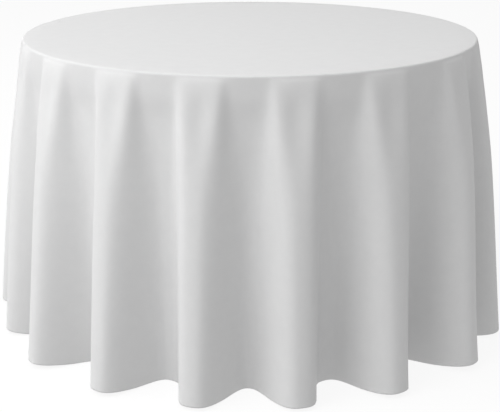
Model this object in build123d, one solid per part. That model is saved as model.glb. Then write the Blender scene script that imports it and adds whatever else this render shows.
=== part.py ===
from build123d import *
import math
import os

# A round folding table under a floor-length round cloth.
# Millimetres, +Z up. The origin is on the floor, on the table's axis.

# --- the table top ---------------------------------------------------------
TABLE_DIAMETER = 1219.2
TABLE_HEIGHT = 762.0
PANEL_THICKNESS = 18.0
RUNNER_THICKNESS = 18.0
EDGE_BATTEN_WIDTH = 50.0
EDGE_BATTEN_COUNT = 8
BATTEN_JOINT_DEG = 0.1
MOULDING_THICKNESS = 3.0
MOULDING_EDGE_RADIUS = 2.5
TONGUE_DEPTH = 9.0
TONGUE_THICKNESS = 2.4
CROSS_RUNNER_WIDTH = 90.0
CENTRE_RUNNER_WIDTH = 120.0
RUNNER_END_GAP = 6.0

# --- the leg sets ----------------------------------------------------------
HINGE_OFFSET = 330.0
LEG_SPREAD_A = 200.0
LEG_SPREAD_B = 150.0
FOOT_SPLAY = 25.0
LEG_TUBE_DIAMETER = 28.6
HINGE_TUBE_DIAMETER = 31.8
CROSSBAR_DIAMETER = 22.2
TUBE_WALL = 1.6
RUNNING_GAP = 0.08
FOOT_CAP_WALL = 2.4
FOOT_CAP_HEIGHT = 30.0
FOOT_SOLE = 6.0

# --- the hinge brackets ----------------------------------------------------
PLATE = 3.0
EAR_GAP = 2.0
EAR_RIM = 8.0
EAR_CLEARANCE = 2.02
FOLDED_CLEARANCE = 5.4
FLANGE_LENGTH = 64.0
FLANGE_WIDTH = 40.0
HINGE_TUBE_OVERHANG = 5.0

# --- the folding braces ----------------------------------------------------
BRACE_DOWN = 300.0
BRACE_REACH = 255.0
BRACE_PLANE = 20.0
LINK_THICKNESS = 4.0
LINK_WIDTH = 22.0
LINK_GAP = 0.3
EYE_RIM = 7.0
RIVET_RADIUS = 4.0
RIVET_HEAD_RADIUS = 7.0
RIVET_HEAD_HEIGHT = 2.5
RIVET_FLUSH_GAP = 0.5
COLLAR_RIM = 4.5
COLLAR_WIDTH = 4.0
BRACE_FLANGE_LENGTH = 50.0
BRACE_FLANGE_WIDTH = 30.0

# --- the screws ------------------------------------------------------------
SCREW_RADIUS = 2.2
SCREW_HEAD_RADIUS = 4.5
SCREW_HEAD_HEIGHT = 2.5
BRACKET_SCREW_DEPTH = 14.0
BATTEN_SCREW_DEPTH = 11.0
SCREW_EDGE = 10.0
EDGE_BATTEN_SCREWS = (0.25, 0.75)
CROSS_RUNNER_SCREWS = (-0.9, -0.25, 0.25, 0.9)
CENTRE_RUNNER_SCREWS = (-0.9, 0.9)

# --- the cloth -------------------------------------------------------------
CLOTH_THICKNESS = 1.0
CLOTH_GAP = 0.3
HEM_FLARE = 121.0
HEM_WIDTH = 12.0
HEM_THICKNESS = 0.8
THREAD_WIDTH = 0.6
THREAD_DEPTH = 0.4
THREAD_INSET = 2.0
LABEL_WIDTH = 30.0
LABEL_HEIGHT = 45.0
LABEL_THICKNESS = 0.4
LABEL_GAP = 0.2

# --- what follows from them ------------------------------------------------
TABLE_RADIUS = TABLE_DIAMETER / 2
CLOTH_DIAMETER = TABLE_DIAMETER + 2 * TABLE_HEIGHT
WOOD_RADIUS = TABLE_RADIUS - MOULDING_THICKNESS
EDGE_BATTEN_INNER = WOOD_RADIUS - EDGE_BATTEN_WIDTH
PANEL_BOTTOM = TABLE_HEIGHT - PANEL_THICKNESS
RUNNER_BOTTOM = PANEL_BOTTOM - RUNNER_THICKNESS
LEG_RADIUS = LEG_TUBE_DIAMETER / 2
HINGE_RADIUS = HINGE_TUBE_DIAMETER / 2
CROSSBAR_RADIUS = CROSSBAR_DIAMETER / 2
EAR_RADIUS = HINGE_RADIUS + RUNNING_GAP + EAR_RIM
FOOT_CAP_RADIUS = LEG_RADIUS + FOOT_CAP_WALL
HINGE_DROP_A = EAR_RADIUS + EAR_CLEARANCE
HINGE_DROP_B = HINGE_DROP_A + HINGE_RADIUS + FOOT_CAP_RADIUS + FOLDED_CLEARANCE
CLOTH_INNER = TABLE_RADIUS + CLOTH_GAP
CLOTH_OUTER = CLOTH_INNER + CLOTH_THICKNESS
CLOTH_BOTTOM = TABLE_HEIGHT + CLOTH_GAP
CLOTH_TOP = CLOTH_BOTTOM + CLOTH_THICKNESS
RIM_INNER_RADIUS = MOULDING_EDGE_RADIUS + CLOTH_GAP
RIM_OUTER_RADIUS = RIM_INNER_RADIUS + CLOTH_THICKNESS
SKIRT_LENGTH = CLOTH_DIAMETER / 2 - TABLE_RADIUS - (TABLE_HEIGHT - RUNNER_BOTTOM)
HEM_HEIGHT = RUNNER_BOTTOM - math.sqrt(SKIRT_LENGTH**2 - HEM_FLARE**2)

UPPER_PLANE = BRACE_PLANE + LINK_THICKNESS + LINK_GAP
TAB_PLANE = UPPER_PLANE + LINK_THICKNESS + LINK_GAP
CROSS_RUNNER_HALF = math.sqrt(
    EDGE_BATTEN_INNER**2 - (HINGE_OFFSET + CROSS_RUNNER_WIDTH / 2) ** 2
) - RUNNER_END_GAP


class LegSet:
    """Where one leg set's hinge, legs and brace are, in a frame whose hinge is at +X."""

    def __init__(self, name, turn, hinge_drop, spread):
        self.name = name
        self.turn = turn
        self.spread = spread
        self.hinge_height = RUNNER_BOTTOM - hinge_drop
        self.tilt = math.atan2(FOOT_SPLAY, self.hinge_height)
        self.leg_length = math.hypot(FOOT_SPLAY, self.hinge_height)
        self.fold = math.pi / 2 + self.tilt
        self.pivot = (HINGE_OFFSET - BRACE_REACH, self.hinge_height)
        stand = self.leg_point(BRACE_DOWN)
        across = stand[0] - self.pivot[0]
        down = self.pivot[1] - stand[1]
        open_length = math.hypot(across, down)
        closed_length = BRACE_DOWN - BRACE_REACH
        self.upper_length = (open_length - closed_length) / 2
        self.lower_length = (open_length + closed_length) / 2
        self.upper_turn = math.atan2(down, across)
        self.lower_turn = math.pi - self.upper_turn - self.fold
        reach = self.upper_length / open_length
        self.knee = (self.pivot[0] + across * reach, self.pivot[1] - down * reach)

    def leg_point(self, distance):
        """The (x, z) point this far down the leg from the hinge."""
        return (
            HINGE_OFFSET + distance * math.sin(self.tilt),
            self.hinge_height - distance * math.cos(self.tilt),
        )

    def place(self, shape):
        """The shape moved from the set's own frame into the table's."""
        return Rot(0, 0, self.turn) * shape


SET_A = LegSet("a", 0, HINGE_DROP_A, LEG_SPREAD_A)
SET_B = LegSet("b", 180, HINGE_DROP_B, LEG_SPREAD_B)


def bar(start, end, radius):
    """A round bar between two points."""
    axis = Vector(*end) - Vector(*start)
    align = (Align.CENTER, Align.CENTER, Align.MIN)
    return Plane(origin=start, z_dir=axis) * Cylinder(radius, axis.length, align=align)


def block(low, high):
    """A box between its lowest and highest corners."""
    size = [b - a for a, b in zip(low, high)]
    return Pos(*low) * Box(*size, align=(Align.MIN, Align.MIN, Align.MIN))


def cross_bar(point, near, far, radius):
    """A round bar along Y through an (x, z) point."""
    return bar((point[0], near, point[1]), (point[0], far, point[1]), radius)


def ring_profile(points):
    """A closed outline of (radius, height) points, upright in the XZ plane."""
    return make_face(Plane.XZ * Polyline(*points, close=True))


def turned(points, arc=360.0):
    """The solid swept by an outline of (radius, height) points about the Z axis."""
    return revolve(ring_profile(points), Axis.Z, arc)


def rectangle(inner, outer, low, high):
    """The four (radius, height) corners of a ring's section."""
    return [(inner, low), (outer, low), (outer, high), (inner, high)]


# --- fasteners -------------------------------------------------------------
def bracket_screw(x, y, face):
    """A pan-head screw, driven up through a bracket whose lower face is given."""
    head = bar((x, y, face - SCREW_HEAD_HEIGHT), (x, y, face), SCREW_HEAD_RADIUS)
    return head + bar((x, y, face), (x, y, face + BRACKET_SCREW_DEPTH), SCREW_RADIUS)


def batten_screw(x, y):
    """A countersunk screw, driven up through a runner into the panel."""
    top = PANEL_BOTTOM + BATTEN_SCREW_DEPTH
    head = bar((x, y, RUNNER_BOTTOM), (x, y, RUNNER_BOTTOM + SCREW_HEAD_HEIGHT), SCREW_HEAD_RADIUS)
    return head + bar((x, y, RUNNER_BOTTOM), (x, y, top), SCREW_RADIUS)


def ear_inner(leg_set):
    """The Y of the inner face of a leg set's outer hinge ear."""
    return leg_set.spread + LEG_RADIUS + EAR_GAP


def hinge_screw_places(leg_set, side):
    """The four (x, y) places of the screws in one hinge bracket."""
    outer = ear_inner(leg_set) - SCREW_EDGE
    inner = ear_inner(leg_set) - FLANGE_WIDTH + SCREW_EDGE
    reach = FLANGE_LENGTH / 2 - SCREW_EDGE
    return [(HINGE_OFFSET + dx, side * y) for dx in (-reach, reach) for y in (inner, outer)]


def brace_screw_places(leg_set):
    """The two (x, y) places of the screws in one brace bracket."""
    reach = BRACE_FLANGE_LENGTH / 2 - SCREW_EDGE
    y = TAB_PLANE + BRACE_FLANGE_WIDTH - SCREW_EDGE
    return [(leg_set.pivot[0] + dx, y) for dx in (-reach, reach)]


def bracket_screws():
    """Every screw that holds a hinge bracket or a brace bracket."""
    screws = []
    for leg_set in (SET_A, SET_B):
        places = hinge_screw_places(leg_set, -1) + hinge_screw_places(leg_set, 1)
        for x, y in places + brace_screw_places(leg_set):
            screws.append(leg_set.place(bracket_screw(x, y, RUNNER_BOTTOM - PLATE)))
    return screws


def batten_screw_places():
    """The screws' (x, y) places, at shares of each batten's or runner's length."""
    places = []
    ring = WOOD_RADIUS - EDGE_BATTEN_WIDTH / 2
    step = 360 / EDGE_BATTEN_COUNT
    for index in range(EDGE_BATTEN_COUNT):
        for share in EDGE_BATTEN_SCREWS:
            angle = math.radians((index + share) * step)
            places.append((ring * math.cos(angle), ring * math.sin(angle)))
    for x in (-HINGE_OFFSET, HINGE_OFFSET):
        places += [(x, share * CROSS_RUNNER_HALF) for share in CROSS_RUNNER_SCREWS]
    centre_runner_half = HINGE_OFFSET - CROSS_RUNNER_WIDTH / 2
    places += [(share * centre_runner_half, 0) for share in CENTRE_RUNNER_SCREWS]
    return places


# --- the table top's pieces ------------------------------------------------
def table_panel():
    """The round plywood panel, with the moulding's groove in its edge."""
    middle = PANEL_BOTTOM + PANEL_THICKNESS / 2
    groove = rectangle(
        WOOD_RADIUS - TONGUE_DEPTH, WOOD_RADIUS,
        middle - TONGUE_THICKNESS / 2, middle + TONGUE_THICKNESS / 2,
    )
    panel = turned(rectangle(0, WOOD_RADIUS, PANEL_BOTTOM, TABLE_HEIGHT)) - turned(groove)
    for x, y in batten_screw_places():
        panel -= batten_screw(x, y)
    return panel


def edge_moulding():
    """The T-section moulding round the edge of the panel and the battens."""
    middle = PANEL_BOTTOM + PANEL_THICKNESS / 2
    band = revolve(
        fillet(
            ring_profile(rectangle(WOOD_RADIUS, TABLE_RADIUS, RUNNER_BOTTOM, TABLE_HEIGHT))
            .vertices().sort_by(Axis.X)[-2:],
            MOULDING_EDGE_RADIUS,
        ),
        Axis.Z,
    )
    tongue = rectangle(
        WOOD_RADIUS - TONGUE_DEPTH, WOOD_RADIUS + MOULDING_THICKNESS / 2,
        middle - TONGUE_THICKNESS / 2, middle + TONGUE_THICKNESS / 2,
    )
    return band + turned(tongue)


def edge_batten(index):
    """One curved batten of the ring under the panel's edge."""
    step = 360 / EDGE_BATTEN_COUNT
    section = rectangle(EDGE_BATTEN_INNER, WOOD_RADIUS, RUNNER_BOTTOM, PANEL_BOTTOM)
    batten = Rot(0, 0, index * step) * turned(section, step - BATTEN_JOINT_DEG)
    for x, y in batten_screw_places():
        batten -= batten_screw(x, y)
    return batten


def cross_runner(leg_set):
    """The wooden runner across the table that carries one leg set's hinge."""
    half = CROSS_RUNNER_WIDTH / 2
    runner = leg_set.place(
        block(
            (HINGE_OFFSET - half, -CROSS_RUNNER_HALF, RUNNER_BOTTOM),
            (HINGE_OFFSET + half, CROSS_RUNNER_HALF, PANEL_BOTTOM),
        )
    )
    return drilled(runner)


def centre_runner():
    """The wooden runner between the cross runners that carries the brace brackets."""
    x = HINGE_OFFSET - CROSS_RUNNER_WIDTH / 2
    y = CENTRE_RUNNER_WIDTH / 2
    return drilled(block((-x, -y, RUNNER_BOTTOM), (x, y, PANEL_BOTTOM)))


def drilled(runner):
    """A runner with the holes of every screw that goes into it."""
    for x, y in batten_screw_places():
        runner -= batten_screw(x, y)
    for screw in bracket_screws():
        runner -= screw
    return runner


def with_screw_holes(plate, places):
    """A bracket with a screw hole at each (x, y) place."""
    for x, y in places:
        plate -= bracket_screw(x, y, RUNNER_BOTTOM - PLATE)
    return plate


def hinge_bracket(leg_set, side):
    """A folded plate: a flange under the runner and an ear round the hinge tube."""
    height = leg_set.hinge_height
    point = (HINGE_OFFSET, height)
    near = ear_inner(leg_set)
    far = near + PLATE
    ear = block(
        (HINGE_OFFSET - EAR_RADIUS, near, height),
        (HINGE_OFFSET + EAR_RADIUS, far, RUNNER_BOTTOM),
    )
    ear += cross_bar(point, near, far, EAR_RADIUS)
    ear -= cross_bar(point, near, far, HINGE_RADIUS + RUNNING_GAP)
    flange = block(
        (HINGE_OFFSET - FLANGE_LENGTH / 2, near - FLANGE_WIDTH, RUNNER_BOTTOM - PLATE),
        (HINGE_OFFSET + FLANGE_LENGTH / 2, far, RUNNER_BOTTOM),
    )
    bracket = ear + flange
    if side < 0:
        bracket = mirror(bracket, about=Plane.XZ)
    return leg_set.place(with_screw_holes(bracket, hinge_screw_places(leg_set, side)))


def brace_bracket(leg_set):
    """A folded plate: a flange under the centre runner and a tab at the brace's pivot."""
    x, height = leg_set.pivot
    half = LINK_WIDTH / 2
    near, far = TAB_PLANE, TAB_PLANE + LINK_THICKNESS
    tab = block((x - half, near, height), (x + half, far, RUNNER_BOTTOM))
    tab += cross_bar(leg_set.pivot, near, far, half)
    tab -= cross_bar(leg_set.pivot, near, far, RIVET_RADIUS)
    reach = BRACE_FLANGE_LENGTH / 2
    flange = block(
        (x - reach, near, RUNNER_BOTTOM - PLATE),
        (x + reach, near + BRACE_FLANGE_WIDTH, RUNNER_BOTTOM),
    )
    return leg_set.place(with_screw_holes(tab + flange, brace_screw_places(leg_set)))


def pivot_rivet(leg_set):
    """The rivet in the brace bracket that the upper link turns on."""
    outside = TAB_PLANE + LINK_THICKNESS
    near = UPPER_PLANE - LINK_GAP + RIVET_FLUSH_GAP
    head = cross_bar(leg_set.pivot, outside, outside + RIVET_HEAD_HEIGHT, RIVET_HEAD_RADIUS)
    return leg_set.place(head + cross_bar(leg_set.pivot, near, outside, RIVET_RADIUS))


# --- a leg set's pieces ----------------------------------------------------
def leg_bar(leg_set, side, start, end, radius):
    """A round bar along one leg, between two distances from the hinge."""
    y = side * leg_set.spread
    (x0, z0), (x1, z1) = leg_set.leg_point(start), leg_set.leg_point(end)
    return bar((x0, y, z0), (x1, y, z1), radius)


def leg_tube(leg_set, side):
    """One leg, coped against the hinge tube at its top."""
    end = leg_set.leg_length - FOOT_SOLE
    leg = leg_bar(leg_set, side, 0, end, LEG_RADIUS)
    leg -= leg_bar(leg_set, side, 0, end, LEG_RADIUS - TUBE_WALL)
    return leg_set.place(leg - hinge_bar(leg_set))


def hinge_bar(leg_set):
    """The hinge tube's outside, as a solid bar."""
    half = ear_inner(leg_set) + PLATE + HINGE_TUBE_OVERHANG
    return cross_bar((HINGE_OFFSET, leg_set.hinge_height), -half, half, HINGE_RADIUS)


def hinge_tube(leg_set):
    """The tube that a leg set swings on."""
    half = ear_inner(leg_set) + PLATE + HINGE_TUBE_OVERHANG
    bore = cross_bar((HINGE_OFFSET, leg_set.hinge_height), -half, half, HINGE_RADIUS - TUBE_WALL)
    return leg_set.place(hinge_bar(leg_set) - bore)


def crossbar(leg_set):
    """The tube between the legs, coped against both, that the brace pulls on."""
    point = leg_set.leg_point(BRACE_DOWN)
    cross = cross_bar(point, -leg_set.spread, leg_set.spread, CROSSBAR_RADIUS)
    cross -= cross_bar(point, -leg_set.spread, leg_set.spread, CROSSBAR_RADIUS - TUBE_WALL)
    for side in (-1, 1):
        cross -= leg_bar(leg_set, side, 0, leg_set.leg_length, LEG_RADIUS)
    return leg_set.place(cross)


def foot_cap(leg_set, side):
    """The cup over a leg's end, cut level where it stands on the floor."""
    end = leg_set.leg_length
    cap = leg_bar(leg_set, side, end - FOOT_CAP_HEIGHT, end + FOOT_SOLE, FOOT_CAP_RADIUS)
    cap -= leg_bar(leg_set, side, end - FOOT_CAP_HEIGHT, end - FOOT_SOLE, LEG_RADIUS)
    wide = HINGE_OFFSET + FOOT_SPLAY + FOOT_CAP_HEIGHT
    cap -= block((-wide, -wide, -wide), (2 * wide, wide, 0))
    return leg_set.place(cap)


def collars(leg_set):
    """The two rings that keep the lower link in its place on the crossbar."""
    point = leg_set.leg_point(BRACE_DOWN)
    rings = []
    for near in (BRACE_PLANE - LINK_GAP - COLLAR_WIDTH, UPPER_PLANE):
        ring = cross_bar(point, near, near + COLLAR_WIDTH, CROSSBAR_RADIUS + COLLAR_RIM)
        ring -= cross_bar(point, near, near + COLLAR_WIDTH, CROSSBAR_RADIUS)
        rings.append(leg_set.place(ring))
    return rings


# --- a brace's pieces ------------------------------------------------------
def link(start, end, near, end_radius):
    """A flat bar between two (x, z) points, round at both ends."""
    run = Vector(end[0] - start[0], 0, end[1] - start[1])
    middle = ((start[0] + end[0]) / 2, near + LINK_THICKNESS / 2, (start[1] + end[1]) / 2)
    flat = Plane(origin=middle, x_dir=run, z_dir=(0, 1, 0)) * Box(run.length, LINK_WIDTH, LINK_THICKNESS)
    flat += cross_bar(start, near, near + LINK_THICKNESS, LINK_WIDTH / 2)
    return flat + cross_bar(end, near, near + LINK_THICKNESS, end_radius)


def upper_link(leg_set):
    """The brace's upper link, from the bracket's pivot to the knee."""
    near, far = UPPER_PLANE, UPPER_PLANE + LINK_THICKNESS
    flat = link(leg_set.knee, leg_set.pivot, near, LINK_WIDTH / 2)
    flat -= cross_bar(leg_set.pivot, near, far, RIVET_RADIUS + RUNNING_GAP)
    return leg_set.place(flat - cross_bar(leg_set.knee, near, far, RIVET_RADIUS))


def lower_link(leg_set):
    """The brace's lower link, from the knee to its eye on the crossbar."""
    near, far = BRACE_PLANE, BRACE_PLANE + LINK_THICKNESS
    eye = leg_set.leg_point(BRACE_DOWN)
    flat = link(leg_set.knee, eye, near, CROSSBAR_RADIUS + EYE_RIM)
    flat -= cross_bar(eye, near, far, CROSSBAR_RADIUS + RUNNING_GAP)
    return leg_set.place(flat - cross_bar(leg_set.knee, near, far, RIVET_RADIUS))


def knee_rivet_upper(leg_set):
    """The half of the knee rivet in the upper link, with its head outside."""
    near, far = UPPER_PLANE, UPPER_PLANE + LINK_THICKNESS
    head = cross_bar(leg_set.knee, far, far + RIVET_HEAD_HEIGHT, RIVET_HEAD_RADIUS)
    return leg_set.place(head + cross_bar(leg_set.knee, near, far, RIVET_RADIUS))


def knee_rivet_lower(leg_set):
    """The half of the knee rivet in the lower link, with its head outside."""
    near, far = BRACE_PLANE, BRACE_PLANE + LINK_THICKNESS
    head = cross_bar(leg_set.knee, near - RIVET_HEAD_HEIGHT, near, RIVET_HEAD_RADIUS)
    return leg_set.place(head + cross_bar(leg_set.knee, near, far, RIVET_RADIUS))


# --- the cloth's pieces ----------------------------------------------------
def skirt_radius(height):
    """The inner radius of the hanging skirt at a height."""
    share = (RUNNER_BOTTOM - height) / (RUNNER_BOTTOM - HEM_HEIGHT)
    return CLOTH_INNER + HEM_FLARE * share


def cloth_panel():
    """The round cloth as a plain bell: flat on the top, down its edge, then flaring."""
    outline = [
        (0, CLOTH_TOP), (CLOTH_OUTER, CLOTH_TOP), (CLOTH_OUTER, RUNNER_BOTTOM),
        (skirt_radius(HEM_HEIGHT) + CLOTH_THICKNESS, HEM_HEIGHT),
        (skirt_radius(HEM_HEIGHT), HEM_HEIGHT),
        (CLOTH_INNER, RUNNER_BOTTOM), (CLOTH_INNER, CLOTH_BOTTOM), (0, CLOTH_BOTTOM),
    ]
    section = ring_profile(outline)
    for radius, height, rounding in (
        (CLOTH_OUTER, CLOTH_TOP, RIM_OUTER_RADIUS),
        (CLOTH_INNER, CLOTH_BOTTOM, RIM_INNER_RADIUS),
    ):
        corner = section.vertices().sort_by_distance(Vertex(radius, 0, height))[0]
        section = fillet(corner, rounding)
    return revolve(section, Axis.Z)


def cloth_hem():
    """The edge turned up inside the skirt."""
    low, high = HEM_HEIGHT, HEM_HEIGHT + HEM_WIDTH
    return turned([
        (skirt_radius(low) - HEM_THICKNESS, low), (skirt_radius(low), low),
        (skirt_radius(high), high), (skirt_radius(high) - HEM_THICKNESS, high),
    ])


def hem_thread():
    """The line of stitching that shows outside, just under the top of the hem."""
    low = HEM_HEIGHT + HEM_WIDTH - THREAD_INSET
    high = low + THREAD_WIDTH
    near = CLOTH_THICKNESS
    far = CLOTH_THICKNESS + THREAD_DEPTH
    return turned([
        (skirt_radius(low) + near, low), (skirt_radius(low) + far, low),
        (skirt_radius(high) + far, high), (skirt_radius(high) + near, high),
    ])


def care_label():
    """The blank label sewn inside the hem at the back."""
    slope = math.degrees(math.atan2(HEM_FLARE, RUNNER_BOTTOM - HEM_HEIGHT))
    middle = HEM_HEIGHT + LABEL_HEIGHT / 2 + THREAD_INSET
    inset = HEM_THICKNESS + LABEL_GAP + LABEL_THICKNESS / 2
    place = Pos(0, skirt_radius(middle) - inset, middle)
    return place * Rot(slope, 0, 0) * Box(LABEL_WIDTH, LABEL_THICKNESS, LABEL_HEIGHT)


# --- every piece by name ---------------------------------------------------
def table_pieces():
    """The root body's pieces."""
    pieces = {
        "table_panel": table_panel(),
        "edge_moulding": edge_moulding(),
        "centre_runner": centre_runner(),
        "bracket_screws": bracket_screws(),
        "batten_screws": [batten_screw(x, y) for x, y in batten_screw_places()],
    }
    for index in range(EDGE_BATTEN_COUNT):
        pieces[f"edge_batten_{index + 1}"] = edge_batten(index)
    for leg_set in (SET_A, SET_B):
        name = leg_set.name
        pieces[f"cross_runner_{name}"] = cross_runner(leg_set)
        pieces[f"hinge_bracket_{name}_left"] = hinge_bracket(leg_set, 1)
        pieces[f"hinge_bracket_{name}_right"] = hinge_bracket(leg_set, -1)
        pieces[f"brace_bracket_{name}"] = brace_bracket(leg_set)
        pieces[f"brace_pivot_{name}"] = pivot_rivet(leg_set)
    return pieces


def leg_pieces(leg_set):
    """One leg set's pieces."""
    name = leg_set.name
    pieces = {
        f"hinge_tube_{name}": hinge_tube(leg_set),
        f"crossbar_{name}": crossbar(leg_set),
        f"brace_collars_{name}": collars(leg_set),
    }
    for side, word in ((1, "left"), (-1, "right")):
        pieces[f"leg_{name}_{word}"] = leg_tube(leg_set, side)
        pieces[f"foot_cap_{name}_{word}"] = foot_cap(leg_set, side)
    return pieces


def brace_pieces(leg_set):
    """One brace's pieces: two links, each with its half of the knee rivet."""
    name = leg_set.name
    return {
        f"brace_upper_link_{name}": upper_link(leg_set),
        f"knee_rivet_upper_{name}": knee_rivet_upper(leg_set),
        f"brace_lower_link_{name}": lower_link(leg_set),
        f"knee_rivet_lower_{name}": knee_rivet_lower(leg_set),
    }


def cloth_pieces():
    """The cloth's pieces."""
    return {
        "cloth_panel": cloth_panel(),
        "cloth_hem": cloth_hem(),
        "hem_thread": hem_thread(),
        "care_label": care_label(),
    }


def write(name, shape):
    """One node's STEP file, from one solid or a list of them."""
    group = shape if isinstance(shape, list) else [shape]
    solids = [solid for piece in group for solid in piece.solids()]
    export_step(Compound(children=solids), f"parts/{name}.step")


def main():
    os.makedirs("parts", exist_ok=True)
    pieces = table_pieces() | cloth_pieces()
    for leg_set in (SET_A, SET_B):
        pieces |= leg_pieces(leg_set) | brace_pieces(leg_set)
        print(
            leg_set.name, "fold", math.degrees(leg_set.fold),
            "upper link", leg_set.upper_length, "lower link", leg_set.lower_length,
        )
    for name, shape in pieces.items():
        write(name, shape)
    print(len(pieces), "nodes; hem at", HEM_HEIGHT, "radius", skirt_radius(HEM_HEIGHT))


main()
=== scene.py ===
"""The looks of a round folding table under a floor-length round cloth.

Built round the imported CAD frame, in metres, +Z up.
"""
import math

import bpy
import numpy as np
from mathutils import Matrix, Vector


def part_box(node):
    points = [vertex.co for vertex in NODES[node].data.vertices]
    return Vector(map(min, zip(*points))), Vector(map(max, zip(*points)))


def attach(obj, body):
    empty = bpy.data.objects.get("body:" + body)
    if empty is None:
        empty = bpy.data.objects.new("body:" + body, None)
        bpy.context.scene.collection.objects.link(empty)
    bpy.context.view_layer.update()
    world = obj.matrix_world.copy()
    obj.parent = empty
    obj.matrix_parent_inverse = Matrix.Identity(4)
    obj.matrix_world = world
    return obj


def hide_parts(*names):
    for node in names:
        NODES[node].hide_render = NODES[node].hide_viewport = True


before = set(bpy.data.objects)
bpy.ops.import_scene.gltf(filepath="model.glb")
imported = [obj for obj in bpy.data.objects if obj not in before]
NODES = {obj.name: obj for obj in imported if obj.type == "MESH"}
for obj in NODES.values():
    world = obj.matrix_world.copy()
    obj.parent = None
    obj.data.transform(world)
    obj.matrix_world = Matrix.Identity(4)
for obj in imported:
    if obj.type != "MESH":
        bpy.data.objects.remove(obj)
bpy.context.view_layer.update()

# --- sizes, from the frame and from the cloth's cut -------------------------
top_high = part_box("table_panel")[1]
edge_low, edge_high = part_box("edge_moulding")

CLOTH_DIAMETER = 2.7432
CLOTH_THICKNESS = 0.0007
AIR_GAP = 0.0008
RIM_ROUNDING = 0.0055
HEM_WIDTH = 0.012
HEM_LAYER = 0.0006
HEM_GAP = 0.00004
# The turned edge's thickness from its pressed top down to its fold, as shares of the layer.
HEM_PROFILE = [0.55, 1.0, 1.0, 1.0, 0.9]
STITCH_INSET = 0.010
STITCH_PITCH = 0.003
STITCH_LENGTH = 0.0024
STITCH_RADIUS = 0.00028
STITCH_SIDES = 6
# A stitch's sections: the place along its half length, and its share of the radius.
STITCH_SECTIONS = [(-0.72, 0.72), (0.0, 1.0), (0.72, 0.72)]
LABEL_WIDTH = 0.030
LABEL_HEIGHT = 0.045
LABEL_THICKNESS = 0.0003
LABEL_GAP = 0.0004
LABEL_CURL = 0.0035
LABEL_ROWS = 16
LABEL_COLUMNS = 9
# How many of the cloth's columns the label may span to each side of its middle.
LABEL_REACH = 3

TABLE_RADIUS = edge_high.x
TOP_HEIGHT = top_high.z
BAND_HEIGHT = edge_high.z - edge_low.z
OUTER_RADIUS = TABLE_RADIUS + AIR_GAP + CLOTH_THICKNESS
OUTER_TOP = TOP_HEIGHT + AIR_GAP + CLOTH_THICKNESS
FLAT_RADIUS = OUTER_RADIUS - RIM_ROUNDING
RIM_ARC = RIM_ROUNDING * math.pi / 2
DROP_LENGTH = CLOTH_DIAMETER / 2 - FLAT_RADIUS - RIM_ARC

# One row for each fold, going round from the back: its azimuth in degrees at the table's
# edge and at the hem (0 is the front, towards -Y, and positive is towards +X), how far its
# crest stands out at the hem as a share of the table's radius, and how gradual its two
# flanks are, from a step at 0 to a plain wave at 1. The eight in front started from the
# photograph's hem, cast on the floor by a scratch program, and were then changed by hand.
FOLDS = [
    (-180.4, -180.0, 0.196, 0.80, 0.62), (-160.2, -161.2, 0.205, 0.58, 0.84),
    (-142.4, -141.6, 0.190, 0.86, 0.60), (-122.4, -123.4, 0.208, 0.62, 0.80),
    (-102.4, -100.8, 0.194, 0.60, 0.76), (-84.4, -81.0, 0.190, 0.52, 0.82),
    (-67.4, -64.4, 0.192, 0.48, 0.88), (-49.0, -47.2, 0.222, 0.46, 0.92),
    (-29.2, -29.0, 0.206, 0.44, 0.94), (-10.0, -10.0, 0.182, 0.42, 0.96),
    (9.2, 8.9, 0.183, 0.90, 0.42), (30.0, 28.4, 0.214, 0.80, 0.44),
    (53.2, 47.4, 0.250, 0.72, 0.46), (69.6, 63.6, 0.218, 0.75, 0.48),
    (85.2, 82.0, 0.190, 0.78, 0.54), (103.2, 101.8, 0.190, 0.62, 0.80),
    (121.0, 121.6, 0.210, 0.84, 0.60), (142.2, 141.4, 0.196, 0.60, 0.82),
    (159.8, 160.2, 0.204, 0.78, 0.62),
]
# How far in from the table's edge the cloth hangs at the hem, after each fold, as a share
# of the table's radius.
VALLEYS = [
    0.010, 0.004, 0.012, 0.006, 0.010, 0.010, 0.006, 0.006, 0.012,
    0.002, 0.016, 0.030, 0.020, 0.006, 0.010, 0.004, 0.010, 0.008, 0.012,
]
COLUMNS_PER_FOLD = 28
FOLD_COUNT = len(FOLDS)
COLUMNS = FOLD_COUNT * COLUMNS_PER_FOLD

# Down the drop, a crest stands out as this power of the share of the drop, and both flanks go
# from the top's one to the hem's own by ROUND_BY.
CREST_POWER = 0.75
TOP_FLANK = 0.30
ROUND_BY = 0.40
# The dip along the top of each fold: where it is across the fold and how wide, how deep, and
# at which shares of the drop it is full, begins to fade and is gone.
DIP_AT = 0.02
DIP_WIDTH = 0.25
DIP_DEPTH = 0.0075
DIP_FULL = 0.13
DIP_FADES = 0.06
DIP_GONE = 0.40
# How far the cloth tucks in under the table's edge and over what height, and how much of that
# it has lost again by which share of the drop.
TUCK = 0.0055
TUCK_HEIGHT = 0.075
TUCK_LOST = 0.6
TUCK_LOST_BY = 0.8

# The cloth's rows: on the top, round the rim, down the table's edge, under it, and at the hem.
TOP_START = 0.06
TOP_ROWS = 13
TOP_SPACING = 0.9
RIM_ROWS = 7
BAND_ROWS = 8
BELOW_THE_EDGE = [0.003, 0.006, 0.010, 0.015, 0.021, 0.028, 0.036, 0.046]
SKIRT_ROWS = 48
ABOVE_THE_HEM = [STITCH_INSET, 0.006, 0.003, 0.0]
STITCH_ROW = -len(ABOVE_THE_HEM)
HEM_ROWS = len(ABOVE_THE_HEM) + 1
# However far a row goes outwards, it falls by at least this share of its step.
LEAST_FALL = 0.5


def smooth(x):
    """0 below 0, 1 above 1, and a cosine ramp between."""
    return 0.5 - 0.5 * np.cos(np.pi * np.clip(x, 0, 1))


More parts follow.
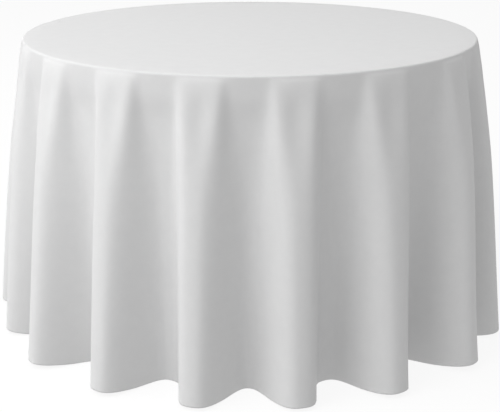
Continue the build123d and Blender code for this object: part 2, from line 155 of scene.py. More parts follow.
# --- the drape --------------------------------------------------------------
def fold_columns():
    """For each column, its fold's index and its place across the fold from -1 to 1."""
    column = np.arange(COLUMNS)
    across = (column % COLUMNS_PER_FOLD) / COLUMNS_PER_FOLD * 2 - 1
    return column // COLUMNS_PER_FOLD, across


def round_the_table(crests):
    """Each column's azimuth in radians, smoothly through the crests and the valleys halfway."""
    fold, across = fold_columns()
    crest = np.radians(crests)
    behind = np.append(crest[-1] - 2 * np.pi, crest[:-1])
    knots_at = np.empty(2 * FOLD_COUNT)
    knots_at[0::2] = (behind + crest) / 2
    knots_at[1::2] = crest
    knots = np.concatenate([knots_at, [knots_at[0] + 2 * np.pi, knots_at[1] + 2 * np.pi]])
    slope = (knots[2:] - knots[:-2]) / 2
    slope = np.concatenate([[slope[-1]], slope, [slope[0]]])
    place = fold * 2 + across + 1
    k = np.floor(place).astype(int)
    t = place - k
    return (
        (2 * t**3 - 3 * t**2 + 1) * knots[k] + (t**3 - 2 * t**2 + t) * slope[k]
        + (3 * t**2 - 2 * t**3) * knots[k + 1] + (t**3 - t**2) * slope[k + 1]
    )


RIM_AZIMUTH = round_the_table([fold[0] for fold in FOLDS])
HEM_AZIMUTH = round_the_table([fold[1] for fold in FOLDS])


def azimuth_at(drop):
    """Every column's azimuth at one drop below the rim."""
    return RIM_AZIMUTH + (HEM_AZIMUTH - RIM_AZIMUTH) * smooth(drop / DROP_LENGTH)


def wave(across, flank):
    """One fold's section: 1 on its crest and 0 in its valleys, with flanks this gradual."""
    steepness = 1 / flank**2 - 1
    cosine = np.cos(np.pi * across)
    return 0.5 + 0.5 * cosine * np.sqrt((1 + steepness) / (1 + steepness * cosine**2))


def section_radius(drop):
    """The radius of every column at one drop below the rim."""
    fold, across = fold_columns()
    share, left, right = (np.array([row[k] for row in FOLDS])[fold] for k in (2, 3, 4))
    down = drop / DROP_LENGTH
    hem_flank = np.where(across < 0, left, right)
    body = wave(across, TOP_FLANK + (hem_flank - TOP_FLANK) * smooth(down / ROUND_BY))
    crest = share * OUTER_RADIUS * max(down, 0) ** CREST_POWER
    # the two ridges of a fold's top, which run together as it grows
    fade = smooth(down / DIP_FULL) * (1 - smooth((down - DIP_FADES) / (DIP_GONE - DIP_FADES)))
    dip = np.exp(-(((across - DIP_AT) / DIP_WIDTH) ** 2))
    # between the folds the cloth turns in under the table's edge
    valleys = np.array(VALLEYS)
    inset = np.where(across < 0, np.roll(valleys, 1)[fold], valleys[fold]) * OUTER_RADIUS
    under = smooth((drop - BAND_HEIGHT) / TUCK_HEIGHT)
    tuck = TUCK * under * (1 - TUCK_LOST * smooth(down / TUCK_LOST_BY))
    return OUTER_RADIUS + crest * body - DIP_DEPTH * fade * dip - (1 - body) * (tuck + inset * down * under)


def drops():
    """The hanging cloth's rows, as lengths below the rim, closer together at both ends."""
    band = np.linspace(0, BAND_HEIGHT, BAND_ROWS)[1:]
    under = BAND_HEIGHT + np.array(BELOW_THE_EDGE)
    skirt = np.linspace(under[-1], DROP_LENGTH - HEM_WIDTH, SKIRT_ROWS)[1:]
    hem = DROP_LENGTH - np.array(ABOVE_THE_HEM)
    return np.concatenate([band, under, skirt, hem])


def drape():
    """The cloth's outer surface, and where each of its points is on the flat cloth."""
    rows, flat = [], []
    for share in np.linspace(TOP_START, 1, TOP_ROWS) ** TOP_SPACING:
        radius = FLAT_RADIUS * share
        rows.append(np.stack([np.full(COLUMNS, radius), RIM_AZIMUTH, np.full(COLUMNS, OUTER_TOP)], 1))
        flat.append(radius)
    for angle in np.linspace(0, math.pi / 2, RIM_ROWS)[1:]:
        radius = FLAT_RADIUS + RIM_ROUNDING * math.sin(angle)
        height = OUTER_TOP - RIM_ROUNDING * (1 - math.cos(angle))
        rows.append(np.stack([np.full(COLUMNS, radius), RIM_AZIMUTH, np.full(COLUMNS, height)], 1))
        flat.append(FLAT_RADIUS + RIM_ROUNDING * angle)
    before = 0.0
    last = rows[-1]
    for drop in drops():
        radius = section_radius(drop)
        step = drop - before
        out = radius - last[:, 0]
        # the cloth keeps its length, so what goes outwards isn't left to fall
        fall = np.sqrt(np.maximum(step**2 - out**2, (LEAST_FALL * step) ** 2))
        height = last[:, 2] - fall
        last = np.stack([radius, azimuth_at(drop), height], 1)
        rows.append(last)
        flat.append(FLAT_RADIUS + RIM_ARC + drop)
        before = drop
    rows, flat = np.array(rows), np.array(flat)
    r, a, z = rows[..., 0], rows[..., 1], rows[..., 2]
    surface = np.stack([r * np.sin(a), -r * np.cos(a), z], -1)
    cut = np.stack([
        flat[:, None] * np.sin(HEM_AZIMUTH), -flat[:, None] * np.cos(HEM_AZIMUTH),
        np.zeros(surface.shape[:2]),
    ], -1)
    return surface, cut


def normals_of(surface):
    """The outward normal at every point of a surface that closes round its columns."""
    around = np.roll(surface, -1, 1) - np.roll(surface, 1, 1)
    down = np.gradient(surface, axis=0)
    normal = np.cross(down, around)
    return normal / np.linalg.norm(normal, axis=-1, keepdims=True)


def add_mesh(name, vertices, faces, smooth_faces=True):
    """A new object from vertices and faces."""
    mesh = bpy.data.meshes.new(name)
    mesh.from_pydata(np.asarray(vertices).tolist(), [], faces)
    mesh.update()
    obj = bpy.data.objects.new(name, mesh)
    bpy.context.scene.collection.objects.link(obj)
    mesh.polygons.foreach_set("use_smooth", [smooth_faces] * len(mesh.polygons))
    return obj


def set_places(obj, places):
    """Stores each vertex's place on the flat cloth, which the weave follows."""
    values = np.asarray(places, dtype=np.float32).ravel()
    obj.data.attributes.new("flat_place", "FLOAT_VECTOR", "POINT").data.foreach_set("vector", values)


def layer_faces(rows, columns, outer, inner, closed=True):
    """The faces of an outer and an inner grid of points, without the walls between them."""
    faces = []
    last = columns if closed else columns - 1
    for row in range(rows - 1):
        for column in range(last):
            a, b = row * columns + column, row * columns + (column + 1) % columns
            faces.append((outer + a, outer + a + columns, outer + b + columns, outer + b))
            faces.append((inner + a, inner + b, inner + b + columns, inner + a + columns))
    return faces


def wall_faces(columns, outer_row, inner_row, down):
    """The faces between one row of the outer grid and the same row of the inner one."""
    faces = []
    for column in range(columns):
        ahead = (column + 1) % columns
        wall = (outer_row + column, inner_row + column, inner_row + ahead, outer_row + ahead)
        faces.append(wall if down else wall[::-1])
    return faces


def tablecloth(surface, cut):
    """The cloth as a thin closed solid."""
    rows, columns = surface.shape[:2]
    inner = surface - normals_of(surface) * CLOTH_THICKNESS
    centre = np.array([[0, 0, OUTER_TOP]])
    vertices = np.concatenate([
        surface.reshape(-1, 3), inner.reshape(-1, 3), centre, centre - [[0, 0, CLOTH_THICKNESS]],
    ])
    count = rows * columns
    faces = layer_faces(rows, columns, 0, count)
    hem = (rows - 1) * columns
    faces += wall_faces(columns, hem, hem + count, True)
    for column in range(columns):
        ahead = (column + 1) % columns
        faces.append((2 * count, column, ahead))
        faces.append((2 * count + 1, ahead + count, column + count))
    obj = add_mesh("tablecloth", vertices, faces)
    flat = cut.reshape(-1, 3)
    set_places(obj, np.concatenate([flat, flat, np.zeros((2, 3))]))
    return obj


def turned_hem(surface, cut):
    """The edge of the cloth, turned up inside as a second layer."""
    inside = CLOTH_THICKNESS + HEM_GAP
    normal = normals_of(surface)[-HEM_ROWS:]
    lower = surface[-HEM_ROWS:]
    outer = lower - normal * inside
    inner = outer - normal * HEM_LAYER * np.array(HEM_PROFILE)[:, None, None]
    rows, columns = lower.shape[:2]
    count = rows * columns
    faces = layer_faces(rows, columns, 0, count)
    hem = (rows - 1) * columns
    faces += wall_faces(columns, hem, hem + count, True)
    faces += wall_faces(columns, 0, count, False)
    obj = add_mesh("tablecloth_hem", np.concatenate([outer.reshape(-1, 3), inner.reshape(-1, 3)]), faces)
    flat = cut[-HEM_ROWS:].reshape(-1, 3)
    set_places(obj, np.concatenate([flat, flat]))
    return obj


def hem_stitching(surface):
    """One row of short stitches, half sunk in the cloth, just under the top of the hem."""
    line = surface[STITCH_ROW]
    normal = normals_of(surface)[STITCH_ROW]
    ahead = np.roll(line, -1, 0) - line
    length = np.concatenate([[0], np.cumsum(np.linalg.norm(ahead, axis=1))])
    stitches = round(length[-1] / STITCH_PITCH)
    at = (np.arange(stitches) + 0.5) * length[-1] / stitches
    closed, closed_normal = np.vstack([line, line[:1]]), np.vstack([normal, normal[:1]])
    centre = np.stack([np.interp(at, length, closed[:, k]) for k in range(3)], 1)
    out = np.stack([np.interp(at, length, closed_normal[:, k]) for k in range(3)], 1)
    out /= np.linalg.norm(out, axis=1, keepdims=True)
    along = ahead[np.searchsorted(length, at) - 1]
    along /= np.linalg.norm(along, axis=1, keepdims=True)
    side = np.cross(out, along)
    half = STITCH_LENGTH / 2
    rings = [(centre - along * half)[:, None]]
    for place, share in STITCH_SECTIONS:
        turn = np.arange(STITCH_SIDES) / STITCH_SIDES * 2 * np.pi
        round_it = out[:, None] * np.cos(turn)[:, None] + side[:, None] * np.sin(turn)[:, None]
        rings.append((centre + along * half * place)[:, None] + round_it * STITCH_RADIUS * share)
    rings.append((centre + along * half)[:, None])
    vertices = np.concatenate(rings, 1)
    one = vertices.shape[1]
    pattern = []
    for k in range(STITCH_SIDES):
        after = (k + 1) % STITCH_SIDES
        pattern.append((0, 1 + after, 1 + k))
        for ring in range(len(STITCH_SECTIONS) - 1):
            low, high = 1 + ring * STITCH_SIDES, 1 + (ring + 1) * STITCH_SIDES
            pattern.append((low + k, low + after, high + after, high + k))
        top = 1 + (len(STITCH_SECTIONS) - 1) * STITCH_SIDES
        pattern.append((one - 1, top + k, top + after))
    faces = [tuple(one * index + v for v in face) for index in range(stitches) for face in pattern]
    return add_mesh("hem_stitching", vertices.reshape(-1, 3), faces)


def at_length(strip, length, place):
    """The points of a strip of the cloth's columns at one length down it."""
    return np.stack([
        [np.interp(place, length, strip[:, column, k]) for k in range(3)]
        for column in range(strip.shape[1])
    ])


def care_label(surface):
    """A blank label inside the back of the cloth, held at its foot by the hem's stitching."""
    crest = COLUMNS_PER_FOLD // 2
    columns = np.arange(crest - LABEL_REACH, crest + LABEL_REACH + 1)
    normal = normals_of(surface)[:, columns]
    patch = surface[:, columns]
    steps = np.linalg.norm(np.diff(patch[:, LABEL_REACH], axis=0), axis=1)
    length = np.concatenate([[0], np.cumsum(steps)])
    edge = length[-1] - STITCH_INSET
    across = patch[STITCH_ROW] - patch[STITCH_ROW, LABEL_REACH]
    width = np.sign(columns - crest) * np.linalg.norm(across, axis=1)
    grid, out = [], []
    for up in np.linspace(0, LABEL_HEIGHT, LABEL_ROWS):
        line = at_length(patch, length, edge - up)
        line_normal = at_length(normal, length, edge - up)
        for x in np.linspace(-LABEL_WIDTH / 2, LABEL_WIDTH / 2, LABEL_COLUMNS):
            point = np.array([np.interp(x, width, line[:, k]) for k in range(3)])
            away = np.array([np.interp(x, width, line_normal[:, k]) for k in range(3)])
            # the free top edge curls a little off the cloth, most in its middle
            bow = 0.7 + 0.3 * math.cos(x / LABEL_WIDTH * 4)
            curl = LABEL_CURL * (up / LABEL_HEIGHT) ** 2 * bow
            grid.append(point - away * (CLOTH_THICKNESS + HEM_LAYER + LABEL_GAP + curl))
            out.append(away)
    grid, out = np.array(grid), np.array(out)
    inner = grid - out * LABEL_THICKNESS
    count = LABEL_ROWS * LABEL_COLUMNS
    faces = layer_faces(LABEL_ROWS, LABEL_COLUMNS, 0, count, closed=False)
    faces = [face[::-1] for face in faces]
    border = list(range(LABEL_COLUMNS))
    border += [(row + 1) * LABEL_COLUMNS - 1 for row in range(1, LABEL_ROWS)]
    border += [count - LABEL_COLUMNS + column for column in range(LABEL_COLUMNS - 2, -1, -1)]
    border += [row * LABEL_COLUMNS for row in range(LABEL_ROWS - 2, 0, -1)]
    for a, b in zip(border, border[1:] + border[:1]):
        faces.append((a, a + count, b + count, b))
    return add_mesh("blank_care_label", np.concatenate([grid, inner]), faces)


# --- materials --------------------------------------------------------------
class Material:
    """A node material: its shader's own sockets are set here, and textures are added to it."""

    def __init__(self, name, colour, roughness, **sockets):
        self.material = bpy.data.materials.new(name)
        self.material.use_nodes = True
        self.tree = self.material.node_tree
        self.shader = self.tree.nodes["Principled BSDF"]
        self.shader.inputs["Base Color"].default_value = (*colour, 1)
        self.shader.inputs["Roughness"].default_value = roughness
        for socket, value in sockets.items():
            self.shader.inputs[socket.replace("_", " ")].default_value = value
        self.relief = None

    def node(self, kind, inputs=(), **settings):
        """A new node, with its settings and its inputs by name or number."""
        made = self.tree.nodes.new("ShaderNode" + kind)
        for setting, value in settings.items():
            setattr(made, setting, value)
        for socket, value in dict(inputs).items():
            if isinstance(value, bpy.types.NodeSocket):
                self.tree.links.new(value, made.inputs[socket])
            else:
                made.inputs[socket].default_value = value
        return made

    def places(self, scale):
        """The object's own coordinates, in metres times a scale for each axis."""
        coordinates = self.node("TexCoord").outputs["Object"]
        return self.node("Mapping", {"Vector": coordinates, "Scale": scale}).outputs["Vector"]

    def noise(self, vector, scale, detail=3.0, roughness=0.5):
        inputs = {"Vector": vector, "Scale": scale, "Detail": detail, "Roughness": roughness}
        return self.node("TexNoise", inputs).outputs["Fac"]

    def math(self, operation, a, b=0.0):
        return self.node("Math", {0: a, 1: b}, operation=operation).outputs[0]

    def blend(self, factor, first, second):
        """Runs the base colour from one to the other with a factor."""
        ramp = self.node("ValToRGB", {"Fac": factor})
        ramp.color_ramp.elements[0].position = 0.3
        ramp.color_ramp.elements[1].position = 0.7
        ramp.color_ramp.elements[0].color = (*first, 1)
        ramp.color_ramp.elements[1].color = (*second, 1)
        self.tree.links.new(ramp.outputs["Color"], self.shader.inputs["Base Color"])

    def vary_roughness(self, factor, low, high):
        spread = self.node("MapRange", {"Value": factor, "To Min": low, "To Max": high})
        self.tree.links.new(spread.outputs["Result"], self.shader.inputs["Roughness"])

    def bump(self, height, distance, strength=1.0):
        """Adds relief of this height in metres, on top of any relief there already."""
        inputs = {"Height": height, "Distance": distance, "Strength": strength}
        if self.relief is not None:
            inputs["Normal"] = self.relief
        self.relief = self.node("Bump", inputs).outputs["Normal"]
        self.tree.links.new(self.relief, self.shader.inputs["Normal"])


WEAVE_PITCH = 0.0009


def cloth_material():
    """White spun polyester: a fine plain weave, a little sheen, and slightly uneven threads."""
    made = Material(
        "white_polyester", (0.745, 0.745, 0.745), 0.78,
        Sheen_Weight=0.08, Sheen_Roughness=0.5, Specular_IOR_Level=0.25,
    )
    place = made.node("Attribute", attribute_name="flat_place").outputs["Vector"]
    axes = made.node("SeparateXYZ", {"Vector": place})
    turn = 2 * math.pi / WEAVE_PITCH
    warp = made.math("SINE", made.math("MULTIPLY", axes.outputs["X"], turn))
    weft = made.math("SINE", made.math("MULTIPLY", axes.outputs["Y"], turn))
    made.bump(made.math("MULTIPLY", warp, weft), 0.00004, 0.5)
    slub = made.noise(made.node("Mapping", {"Vector": place, "Scale": (900, 40, 1)}).outputs["Vector"], 1.0)
    made.bump(slub, 0.00002, 0.3)
    made.bump(made.noise(place, 9.0, 2.0), 0.0012, 0.35)
    made.blend(made.noise(place, 30.0, 5.0, 0.65), (0.735, 0.735, 0.737), (0.755, 0.755, 0.755))
    made.vary_roughness(slub, 0.72, 0.84)
    return made.material


def thread_material():
    """White twisted polyester thread."""
    made = Material("white_thread", (0.78, 0.78, 0.78), 0.5, Sheen_Weight=0.1)
    twist = made.noise(made.places((1, 1, 1)), 2600.0, 2.0)
    made.bump(twist, 0.00008, 0.6)
    made.blend(twist, (0.76, 0.76, 0.76), (0.80, 0.80, 0.80))
    return made.material


def label_material():
    """White satin ribbon with no print."""
    made = Material("satin_label", (0.80, 0.80, 0.81), 0.32, Sheen_Weight=0.2)
    ribs = made.noise(made.places((60, 60, 4200)), 1.0, 2.0)
    made.bump(ribs, 0.00004, 0.6)
    made.blend(ribs, (0.77, 0.77, 0.78), (0.82, 0.82, 0.83))
    return made.material


def wood_material(name, light, dark, scale, polar=False):
    """Sanded wood whose grain runs along the axis that has the small scale."""
    made = Material(name, light, 0.55, Specular_IOR_Level=0.35)
    if polar:
        axes = made.node("SeparateXYZ", {"Vector": made.places((1, 1, 1))})
        x, y = axes.outputs["X"], axes.outputs["Y"]
        squares = made.math("ADD", made.math("MULTIPLY", x, x), made.math("MULTIPLY", y, y))
        inputs = {
            "X": made.math("ARCTAN2", y, x),
            "Y": made.math("SQRT", squares),
            "Z": axes.outputs["Z"],
        }
        around = made.node("CombineXYZ", inputs).outputs["Vector"]
        place = made.node("Mapping", {"Vector": around, "Scale": scale}).outputs["Vector"]
    else:
        place = made.places(scale)
    grain = made.noise(place, 1.0, 6.0, 0.62)
    rings = made.node("TexWave", {"Vector": place, "Scale": 0.22, "Distortion": 9.0, "Detail": 3.0})
    part_rings = made.math("MULTIPLY", rings.outputs["Fac"], 0.4)
    figure = made.math("ADD", made.math("MULTIPLY", grain, 0.6), part_rings)
    made.blend(figure, dark, light)
    made.bump(grain, 0.00025, 0.5)
    made.vary_roughness(grain, 0.48, 0.68)
    return made.material


def powder_coat():
    """Black powder coat on steel: fine orange peel and faint dust."""
    made = Material("black_powder_coat", (0.022, 0.022, 0.024), 0.42)
    place = made.places((1, 1, 1))
    made.bump(made.noise(place, 900.0, 2.0), 0.00012, 0.5)
    dust = made.noise(place, 26.0, 6.0, 0.7)
    made.blend(dust, (0.018, 0.018, 0.020), (0.042, 0.041, 0.040))
    made.vary_roughness(dust, 0.34, 0.58)
    return made.material


def zinc(name, colour, roughness):
    """Zinc-plated steel: cloudy patches, with the plating's soft crystals."""
    made = Material(name, colour, roughness, Metallic=1.0)
    place = made.places((1, 1, 1))
    cells = made.node("TexVoronoi", {"Vector": place, "Scale": 240.0}).outputs["Distance"]
    clouds = made.noise(place, 60.0, 5.0, 0.6)
    made.blend(clouds, tuple(0.84 * c for c in colour), colour)
    made.vary_roughness(clouds, roughness - 0.08, roughness + 0.14)
    made.bump(cells, 0.00004, 0.4)
    return made.material


def brushed_steel(name, colour, scale):
    """Bright steel with the fine lines of rolling along one axis."""
    made = Material(name, colour, 0.36, Metallic=1.0)
    lines = made.noise(made.places(scale), 1.0, 4.0, 0.6)
    made.bump(lines, 0.00003, 0.5)
    made.blend(lines, tuple(0.78 * c for c in colour), colour)
    made.vary_roughness(lines, 0.28, 0.48)
    return made.material


def moulded(name, colour, roughness, grain, depth):
    """A moulded rubber or vinyl with a fine pebbled skin."""
    made = Material(name, colour, roughness)
    place = made.places((1, 1, 1))
    made.bump(made.noise(place, grain, 3.0), depth, 0.6)
    wear = made.noise(place, 35.0, 5.0, 0.65)
    made.blend(wear, tuple(0.8 * c for c in colour), tuple(1.3 * c for c in colour))
    made.vary_roughness(wear, roughness - 0.08, roughness + 0.1)
    return made.material


def give(material, *starts):
    """Sets the material of every CAD node whose name starts with one of these words."""
    for name, node in NODES.items():
        if name.startswith(starts):
            node.data.materials.clear()
            node.data.materials.append(material)


BIRCH = (0.56, 0.40, 0.25)
BIRCH_DARK = (0.40, 0.26, 0.145)
PINE = (0.60, 0.42, 0.23)
PINE_DARK = (0.38, 0.22, 0.10)
ACROSS = (240, 6, 240)
LENGTHWAYS = (6, 240, 240)
ROUND = (3.6, 240, 240)

COAT = powder_coat()
SCREW_ZINC = zinc("zinc_screw", (0.66, 0.65, 0.60), 0.30)
give(wood_material("birch_plywood", BIRCH, BIRCH_DARK, LENGTHWAYS), "table_panel")
give(wood_material("pine_across", PINE, PINE_DARK, ACROSS), "cross_runner")
give(wood_material("pine_lengthways", PINE, PINE_DARK, LENGTHWAYS), "centre_runner")
give(wood_material("pine_round", PINE, PINE_DARK, ROUND, polar=True), "edge_batten")
give(moulded("brown_vinyl", (0.085, 0.055, 0.038), 0.46, 1400.0, 0.00008), "edge_moulding")
give(moulded("black_rubber", (0.020, 0.020, 0.020), 0.72, 1100.0, 0.00012), "foot_cap")
give(COAT, "leg_a", "leg_b", "hinge_tube", "crossbar", "brace_collars")
give(zinc("zinc_bracket", (0.62, 0.62, 0.60), 0.34), "hinge_bracket", "brace_bracket")
give(brushed_steel("link_steel", (0.50, 0.50, 0.51), (8, 700, 700)), "brace_upper_link", "brace_lower_link")
give(brushed_steel("rivet_steel", (0.58, 0.57, 0.55), (600, 600, 600)), "knee_rivet", "brace_pivot")

# --- the cloth's pieces -----------------------------------------------------
surface, cut = drape()
cloth = tablecloth(surface, cut)
hem = turned_hem(surface, cut)
stitching = hem_stitching(surface)
label = care_label(surface)

CLOTH_MATERIAL = cloth_material()
for piece, node, slot, material in (
    (cloth, "cloth_panel", "cloth", CLOTH_MATERIAL), (hem, "cloth_hem", "cloth", CLOTH_MATERIAL),
    (stitching, "hem_thread", "thread", thread_material()), (label, "care_label", "label", label_material()),
):
    piece.data.materials.append(material)
    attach(piece, "cloth")
    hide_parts(node)


# --- welds and screw heads --------------------------------------------------
# how far each foot stands out from under its hinge
FOOT_SPLAY = 0.025
BEAD_RADIUS = 0.0013
BEAD_SIDES = 8
BEAD_STEPS = 144
BEAD_RIPPLES = 36
RIPPLE_DEPTH = 0.14
SCREW_SIDES = 48
SCREW_SHANK = 0.0022
SCREW_HEAD_HEIGHT = 0.0025
SCREW_APART = 0.012
# The cross recess: its depth, then its arm, half width and wall in shares of the head's
# radius, and the share of the depth that is lost by the end of an arm.
RECESS_DEPTH = 0.0013
RECESS_ARM = 0.56
RECESS_HALF_WIDTH = 0.13
RECESS_RAMP = 0.10
RECESS_SLOPE = 0.55
HEAD_RINGS = np.concatenate([np.linspace(0.04, 0.64, 13), np.linspace(0.70, 0.94, 5)])
DOME_HEIGHT = 0.0010
DOME_POWER = 2.4
# A pan head's edge, from its dome to its seat: shares of its radius, and heights.
PAN_EDGE = [(0.985, 0.0013), (1.0, 0.0017), (1.0, SCREW_HEAD_HEIGHT)]
SCREW_POINT = 0.003


def join(parts):
    """One list of vertices and one of faces from several of each."""
    vertices, faces, start = [], [], 0
    for points, polygons in parts:
        vertices.append(points)
        faces += [tuple(start + v for v in face) for face in polygons]
        start += len(points)
    return np.concatenate(vertices), faces


def weld_bead(line, outward):
    """A rippled bead along a closed line, half sunk in the joint that it fills."""
    along = np.roll(line, -1, 0) - np.roll(line, 1, 0)
    along /= np.linalg.norm(along, axis=1, keepdims=True)
    side = np.cross(along, outward)
    side /= np.linalg.norm(side, axis=1, keepdims=True)
    up = np.cross(side, along)
    ripple = 1 + RIPPLE_DEPTH * np.cos(np.arange(BEAD_STEPS) / BEAD_STEPS * 2 * np.pi * BEAD_RIPPLES)
    turn = np.arange(BEAD_SIDES) / BEAD_SIDES * 2 * np.pi
    round_it = up[:, None] * np.cos(turn)[:, None] + side[:, None] * np.sin(turn)[:, None]
    vertices = line[:, None] + round_it * (BEAD_RADIUS * ripple)[:, None, None]
    faces = []
    for step in range(BEAD_STEPS):
        for k in range(BEAD_SIDES):
            near, far = step * BEAD_SIDES, (step + 1) % BEAD_STEPS * BEAD_SIDES
            after = (k + 1) % BEAD_SIDES
            faces.append((near + k, far + k, far + after, near + after))
    return vertices.reshape(-1, 3), faces


def middle(node):
    """The middle of a CAD node's box and its half sizes."""
    low, high = (np.array(corner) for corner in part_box(node))
    return (low + high) / 2, (high - low) / 2


def weld_beads(name):
    """The beads where one set's legs meet its hinge tube and its crossbar."""
    turn = np.arange(BEAD_STEPS)[:, None] / BEAD_STEPS * 2 * np.pi
    hinge, hinge_half = middle(f"hinge_tube_{name}")
    bar, bar_half = middle(f"crossbar_{name}")
    y = np.array([0.0, 1.0, 0.0])
    parts = []
    for word in ("left", "right"):
        leg, leg_half = middle(f"leg_{name}_{word}")
        radius = leg_half[1]
        down = np.array([math.copysign(FOOT_SPLAY, hinge[0]), 0, -hinge[2]])
        down /= np.linalg.norm(down)
        across = np.cross(down, y)
        at_hinge = np.array([hinge[0], leg[1], hinge[2]])
        outward = np.cos(turn) * y + np.sin(turn) * across
        reach = np.sqrt(hinge_half[2] ** 2 - (radius * np.sin(turn)) ** 2)
        parts.append(weld_bead(at_hinge + reach * down + radius * outward, outward))
        at_bar = np.array([bar[0], leg[1], bar[2]])
        outward = np.cos(turn) * down + np.sin(turn) * across
        reach = np.sqrt(radius**2 - (bar_half[2] * np.sin(turn)) ** 2) * -math.copysign(1, leg[1])
        parts.append(weld_bead(at_bar + reach * y + bar_half[2] * outward, outward))
    return add_mesh(f"weld_beads_{name}", *join(parts))


def screw_places(node):
    """For each screw of a node, its middle, lowest and highest points and its head's radius."""
    mesh = NODES[node].data
    points = np.empty(len(mesh.vertices) * 3)
    mesh.vertices.foreach_get("co", points)
    points = points.reshape(-1, 3)
    places = []
    while len(points):
        near = np.linalg.norm(points[:, :2] - points[0, :2], axis=1) < SCREW_APART
        low, high = points[near].min(0), points[near].max(0)
        places.append(((low + high) / 2, low[2], high[2], (high[0] - low[0]) / 2))
        points = points[~near]
    return places


def recess_bar(along, aside, radius):
    """One bar of the cross recess: 1 inside it and 0 outside, with sloping walls."""
    ramp = RECESS_RAMP * radius
    ends = smooth((RECESS_ARM * radius - np.abs(along)) / ramp)
    return ends * smooth((RECESS_HALF_WIDTH * radius + ramp / 2 - np.abs(aside)) / ramp)


def recess(x, y, radius):
    """How deep the cross recess is at a point of a screw's head."""
    cross = np.maximum(recess_bar(x, y, radius), recess_bar(y, x, radius))
    return RECESS_DEPTH * cross * (1 - RECESS_SLOPE * np.hypot(x, y) / (RECESS_ARM * radius))


def screw(place, domed):
    """A screw driven up from below, with a cross recess, and a domed head or a flush one."""
    middle_point, low, high, radius = place
    dome = DOME_HEIGHT if domed else 0.0
    edge = PAN_EDGE if domed else [(1.0, 0.0)]
    rings = [(radius * share, low + dome * share**DOME_POWER) for share in HEAD_RINGS]
    rings += [(radius * share, low + height) for share, height in edge]
    rings += [(SCREW_SHANK, low + SCREW_HEAD_HEIGHT), (SCREW_SHANK, high - SCREW_POINT)]
    turn = np.arange(SCREW_SIDES) / SCREW_SIDES * 2 * np.pi
    grid = np.array([[(r * math.cos(t), r * math.sin(t), z) for t in turn] for r, z in rings])
    faced = slice(0, len(HEAD_RINGS))
    grid[faced, :, 2] += recess(grid[faced, :, 0], grid[faced, :, 1], radius)
    axis = [middle_point[0], middle_point[1], 0]
    ends = np.array([[0, 0, low + RECESS_DEPTH], [0, 0, high]])
    vertices = np.concatenate([grid.reshape(-1, 3), ends]) + axis
    faces = []
    count = len(rings) * SCREW_SIDES
    for k in range(SCREW_SIDES):
        after = (k + 1) % SCREW_SIDES
        faces.append((count, after, k))
        for ring in range(len(rings) - 1):
            near, far = ring * SCREW_SIDES, (ring + 1) * SCREW_SIDES
            faces.append((near + k, near + after, far + after, far + k))
        far = count - SCREW_SIDES
        faces.append((count + 1, far + k, far + after))
    return vertices, faces


for name in ("a", "b"):
    beads = weld_beads(name)
    beads.data.materials.append(COAT)
    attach(beads, f"leg_set_{name}")
for node, piece_name, domed in (
    ("bracket_screws", "pan_head_screws", True), ("batten_screws", "countersunk_screws", False),
):
    screws = add_mesh(piece_name, *join([screw(place, domed) for place in screw_places(node)]))
    screws.data.materials.append(SCREW_ZINC)
    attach(screws, "table")
    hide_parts(node)


# --- floor, light and camera ------------------------------------------------
def stage_floor():
    """A plain white floor that glows, as a light table does, but throws no diffuse light."""
    made = Material(
        "floor_white", (0.12, 0.12, 0.12), 0.9,
        Emission_Color=(1, 1, 1, 1), Emission_Strength=0.88, Specular_IOR_Level=0.0,
    )
    size = 30.0
    corners = [(-size, -size, 0), (size, -size, 0), (size, size, 0), (-size, size, 0)]
    floor = add_mesh("floor", corners, [(0, 1, 2, 3)], False)
    floor.data.materials.append(made.material)
    floor.visible_diffuse = False


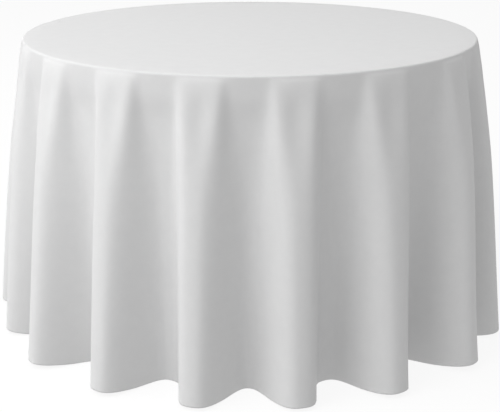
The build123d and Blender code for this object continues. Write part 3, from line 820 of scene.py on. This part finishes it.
def stage_backdrop():
    """A plain white surround, which neither lights nor shades the object."""
    made = Material(
        "backdrop_white", (0, 0, 0), 1.0,
        Emission_Color=(1, 1, 1, 1), Emission_Strength=1.0, Specular_IOR_Level=0.0,
    )
    radius, sides, rows = 29.0, 48, 12
    points = []
    for row in range(rows):
        tilt = math.pi / 2 * row / rows
        for side in range(sides):
            turn = 2 * math.pi * side / sides
            level = radius * math.cos(tilt)
            points.append((level * math.cos(turn), level * math.sin(turn), radius * math.sin(tilt) - 0.01))
    points.append((0, 0, radius))
    faces = []
    for side in range(sides):
        ahead = (side + 1) % sides
        for row in range(rows - 1):
            low, high = row * sides, (row + 1) * sides
            faces.append((low + side, high + side, high + ahead, low + ahead))
        top = (rows - 1) * sides
        faces.append((top + side, rows * sides, top + ahead))
    backdrop = add_mesh("backdrop", points, faces)
    backdrop.data.materials.append(made.material)
    backdrop.visible_diffuse = False
    backdrop.visible_glossy = False
    backdrop.visible_transmission = False
    backdrop.visible_shadow = False


def soft_lamp(azimuth, elevation, distance, spread, brightness):
    """A broad round lamp, set by the angle it fills and by how much light reaches the origin."""
    light = bpy.data.lights.new("lamp", "AREA")
    light.shape = "DISK"
    light.size = 2 * distance * math.tan(math.radians(spread / 2))
    light.energy = brightness * math.pi * distance**2
    obj = bpy.data.objects.new("lamp", light)
    a, e = math.radians(azimuth), math.radians(elevation)
    towards = Vector((math.sin(a) * math.cos(e), -math.cos(a) * math.cos(e), math.sin(e)))
    obj.location = towards * distance
    obj.rotation_euler = towards.to_track_quat("Z", "Y").to_euler()
    obj.visible_camera = False
    bpy.context.scene.collection.objects.link(obj)


def world_light(strength):
    world = bpy.data.worlds.new("studio")
    bpy.context.scene.world = world
    world.use_nodes = True
    world.node_tree.nodes["Background"].inputs["Color"].default_value = (1, 1, 1, 1)
    world.node_tree.nodes["Background"].inputs["Strength"].default_value = strength


# Solved by a least-squares fit to points of the photograph's outline, with the
# table's height held at 1.25 times its radius.
CAMERA_PLACE = (0, -2.592, 1.174)
CAMERA_TARGET = (0, 0, 0.2512)
CAMERA_LENS = 67.55


def make_camera():
    camera = bpy.data.cameras.new("camera")
    camera.sensor_width = 36
    camera.lens = CAMERA_LENS
    obj = bpy.data.objects.new("camera", camera)
    obj.location = CAMERA_PLACE
    aim = Vector(CAMERA_TARGET) - obj.location
    obj.rotation_euler = aim.to_track_quat("-Z", "Y").to_euler()
    bpy.context.scene.collection.objects.link(obj)
    bpy.context.scene.camera = obj


stage_floor()
stage_backdrop()
# the strengths, and the far lamp's azimuth, come from least-squares fits to the
# photograph's brightness
world_light(0.540)
soft_lamp(azimuth=-68, elevation=50, distance=7.0, spread=50, brightness=2.05)
soft_lamp(azimuth=-40, elevation=30, distance=3.0, spread=60, brightness=0.28)
make_camera()
bpy.context.scene.view_settings.view_transform = "Standard"
